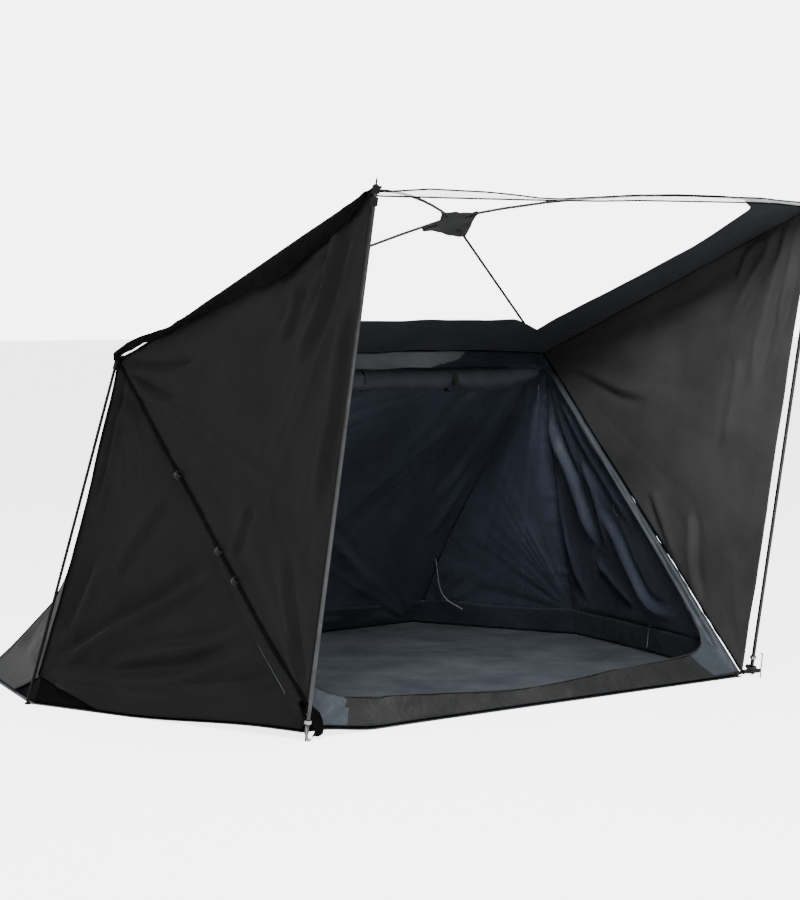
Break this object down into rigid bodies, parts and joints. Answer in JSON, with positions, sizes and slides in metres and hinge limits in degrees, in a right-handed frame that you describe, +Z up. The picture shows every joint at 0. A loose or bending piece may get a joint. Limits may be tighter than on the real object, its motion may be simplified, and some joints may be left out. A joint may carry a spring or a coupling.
{
  "type": "pitched wedge tent with hub frame",
  "caption": "Low wedge-shaped tent with a six-sided floor, an open rolled-up door and a clear-topped awning raised to two tall front poles by an arched hub frame.",
  "frame": {"origin": "middle of the floor's underside, on the ground", "axes": "+Z up, -Y out of the door, +X to the right of someone who looks along +Y into the tent"},
  "size_m": [3.0548, 2.5392, 1.9952],
  "materials": {
    "dark_cloth": "matte",
    "grey_cloth": "matte",
    "navy_cloth": "satin",
    "floor_cloth": "satin",
    "clear_film": "clear film",
    "steel": "satin",
    "pole": "satin",
    "plastic": "matte",
    "webbing": "woven"
  },
  "bodies": {
    "root": {"floor": "floor_cloth", "tub_left": "navy_cloth", "tub_rear_left": "navy_cloth", "tub_rear": "navy_cloth", "tub_rear_right": "navy_cloth", "tub_right": "navy_cloth", "side_panel_left": "dark_cloth", "side_panel_right": "navy_cloth", "rear_side_panel_left": "grey_cloth", "rear_side_panel_right": "grey_cloth", "awning_panel_left": "dark_cloth", "awning_panel_right": "grey_cloth", "back_panel_lower": "navy_cloth", "back_panel_upper": "navy_cloth", "roof_border_rear": "dark_cloth", "roof_border_left": "dark_cloth", "roof_border_right": "dark_cloth", "roof_border_front": "dark_cloth", "roof_film": "clear_film", "door_sill": "dark_cloth", "door_edge_left": "dark_cloth", "door_edge_right": "dark_cloth", "door_band": "grey_cloth", "door_roll": "dark_cloth", "door_tie_left": "webbing", "door_tie_right": "webbing", "eave_flap_left": "dark_cloth", "eave_flap_right": "dark_cloth", "roof_hub": "plastic", "hub_pad": "grey_cloth", "roof_pole_front_left": "pole", "roof_pole_front_right": "pole", "roof_pole_rear_left": "pole", "roof_pole_rear_right": "pole", "ridge_elbow_left": "plastic", "ridge_elbow_right": "plastic", "rear_leg_left": "pole", "rear_leg_right": "pole", "leg_shoe_left": "plastic", "leg_shoe_right": "plastic", "front_pole_left": "steel", "front_pole_right": "steel", "pole_bracket_left": "plastic", "pole_bracket_right": "plastic", "foot_ring_left": "steel", "foot_ring_right": "steel", "peg_right": "steel", "peg_strap_right": "webbing"}
  },
  "joints": []
}
